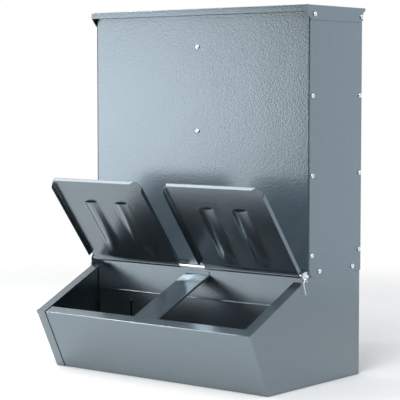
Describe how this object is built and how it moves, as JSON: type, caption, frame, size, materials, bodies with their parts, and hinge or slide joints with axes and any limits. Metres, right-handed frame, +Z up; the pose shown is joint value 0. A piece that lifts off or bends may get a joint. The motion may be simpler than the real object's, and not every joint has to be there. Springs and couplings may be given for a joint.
{
  "type": "gravity feeder",
  "caption": "Sheet-steel hopper feeder for poultry: open-fronted trough under hinged flap lids, filled from a hinged top lid, with a sliding feed gate.",
  "frame": {"origin": "on the ground, below the middle of the hopper's front face", "axes": "+X to the right seen from the front, +Y to the back, +Z up"},
  "size_m": [0.494, 0.3294, 0.64],
  "materials": {
    "hopper_paint": "semi-gloss blue-grey hammertone",
    "trough_paint": "semi-gloss blue-grey hammertone",
    "zinc_plate": "bright zinc plate",
    "black_steel": "blackened steel"
  },
  "bodies": {
    "feeder": {"hopper_front": "hopper_paint", "hopper_back": "hopper_paint", "hopper_side_left": "hopper_paint", "hopper_side_right": "hopper_paint", "base_side_left": "trough_paint", "base_side_right": "trough_paint", "trough_front": "trough_paint", "floor_tray": "trough_paint", "base_back": "trough_paint", "feed_ramp": "trough_paint", "throat_plate": "trough_paint", "centre_bar": "trough_paint", "tie_strap_lower": "zinc_plate", "tie_strap_upper": "zinc_plate", "hinge_rod": "zinc_plate", "rod_washer_left": "zinc_plate", "rod_washer_right": "zinc_plate", "split_pin_left": "zinc_plate", "split_pin_right": "zinc_plate", "front_screw_left_1": "zinc_plate", "front_screw_left_2": "zinc_plate", "front_screw_left_3": "zinc_plate", "front_screw_right_1": "zinc_plate", "front_screw_right_2": "zinc_plate", "front_screw_right_3": "zinc_plate", "rear_screw_left_1": "zinc_plate", "rear_screw_left_2": "zinc_plate", "rear_screw_left_3": "zinc_plate", "rear_screw_right_1": "zinc_plate", "rear_screw_right_2": "zinc_plate", "rear_screw_right_3": "zinc_plate", "seam_screw_left_1": "zinc_plate", "seam_screw_left_2": "zinc_plate", "seam_screw_right_1": "zinc_plate", "seam_screw_right_2": "zinc_plate", "lid_pivot_screw_left": "zinc_plate", "lid_pivot_screw_right": "zinc_plate", "strap_screw_front_lower": "zinc_plate", "strap_screw_front_upper": "zinc_plate", "strap_screw_back_lower": "zinc_plate", "strap_screw_back_upper": "zinc_plate", "gate_bolt_left": "black_steel", "gate_bolt_right": "black_steel"},
    "lid": {"top_lid": "hopper_paint", "lid_front_screw_left": "zinc_plate", "lid_front_screw_right": "zinc_plate"},
    "left_flap": {"flap_left": "trough_paint"},
    "right_flap": {"flap_right": "trough_paint"},
    "gate": {"feed_gate": "trough_paint"}
  },
  "joints": [
    {"name": "lid_hinge", "type": "hinge", "parent": "feeder", "child": "lid", "pos_m": [0, 0.152, 0.6245], "axis": [-1, 0, 0], "range_deg": [0, 85]},
    {"name": "left_flap_hinge", "type": "hinge", "parent": "feeder", "child": "left_flap", "pos_m": [0, -0.013, 0.188], "axis": [-1, 0, 0], "range_deg": [-78.9, 40]},
    {"name": "right_flap_hinge", "type": "hinge", "parent": "feeder", "child": "right_flap", "pos_m": [0, -0.013, 0.188], "axis": [-1, 0, 0], "range_deg": [-78.9, 40]},
    {"name": "gate_slide", "type": "slide", "parent": "feeder", "child": "gate", "axis": [0, 0, 1], "range_m": [0, 0.022]}
  ]
}
